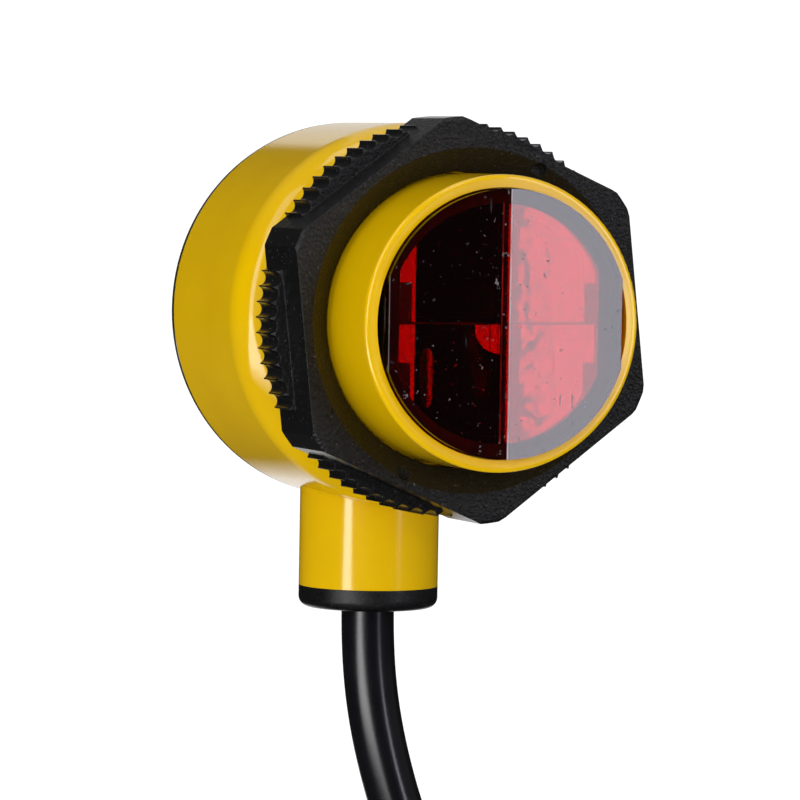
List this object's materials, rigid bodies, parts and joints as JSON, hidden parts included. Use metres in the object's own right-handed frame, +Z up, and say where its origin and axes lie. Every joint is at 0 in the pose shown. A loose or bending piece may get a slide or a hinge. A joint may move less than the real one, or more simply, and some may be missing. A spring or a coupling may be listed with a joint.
{
  "type": "retroreflective photoelectric sensor",
  "caption": "Round-bodied right-angle photoelectric sensor with a threaded nose, red lens, jam nut and cabled stem, for sensing objects against a reflector",
  "frame": {"origin": "on the optical axis of the nose, in the plane of the shoulder that bears on a panel", "axes": "+Z up, -Y the way the lens looks, +X to the right seen from the lens"},
  "size_m": [0.0824, 0.0905, 0.1199],
  "materials": {
    "yellow_plastic": "moulded thermoplastic polyester, satin",
    "red_lens": "red moulded acrylic, polished",
    "black_nylon": "moulded glass-filled nylon",
    "black_optics": "moulded, matt",
    "clear_plastic": "moulded clear polycarbonate",
    "polarizing_film": "laminated film",
    "green_lamp": "tinted epoxy",
    "yellow_lamp": "tinted epoxy",
    "black_rubber": "moulded",
    "circuit_board": "solder mask over glass epoxy",
    "aluminium_can": "drawn can",
    "black_jacket": "extruded PVC",
    "brown_insulation": "extruded PVC",
    "blue_insulation": "extruded PVC",
    "white_insulation": "extruded PVC",
    "black_insulation": "extruded PVC"
  },
  "bodies": {
    "sensor": {"housing": "yellow_plastic", "rear_cover": "yellow_plastic", "front_lens": "red_lens", "end_cap": "black_nylon", "optics_frame": "black_optics", "receiver_photodiode": "black_optics", "board_header": "black_optics", "microcontroller": "black_optics", "pnp_output_transistor": "black_optics", "npn_output_transistor": "black_optics", "indicator_window": "clear_plastic", "emitter_lens": "clear_plastic", "receiver_lens": "clear_plastic", "emitter_led": "clear_plastic", "emitter_polarizer": "polarizing_film", "receiver_polarizer": "polarizing_film", "green_led": "green_lamp", "yellow_led": "yellow_lamp", "lens_seal": "black_rubber", "cable_grommet": "black_rubber", "optics_board": "circuit_board", "main_board": "circuit_board", "filter_capacitor": "aluminium_can", "cable_entry": "black_jacket", "cable_hanging": "black_jacket", "cable_coil": "black_jacket", "board_lead_brown": "brown_insulation", "flying_lead_brown": "brown_insulation", "board_lead_blue": "blue_insulation", "flying_lead_blue": "blue_insulation", "board_lead_white": "white_insulation", "flying_lead_white": "white_insulation", "board_lead_black": "black_insulation", "flying_lead_black": "black_insulation"},
    "nut": {"jam_nut": "black_nylon"}
  },
  "joints": [
    {"name": "jam_nut_travel", "type": "slide", "parent": "sensor", "child": "nut", "axis": [0, -1, 0], "range_m": [-0.0043, 0.024]}
  ]
}
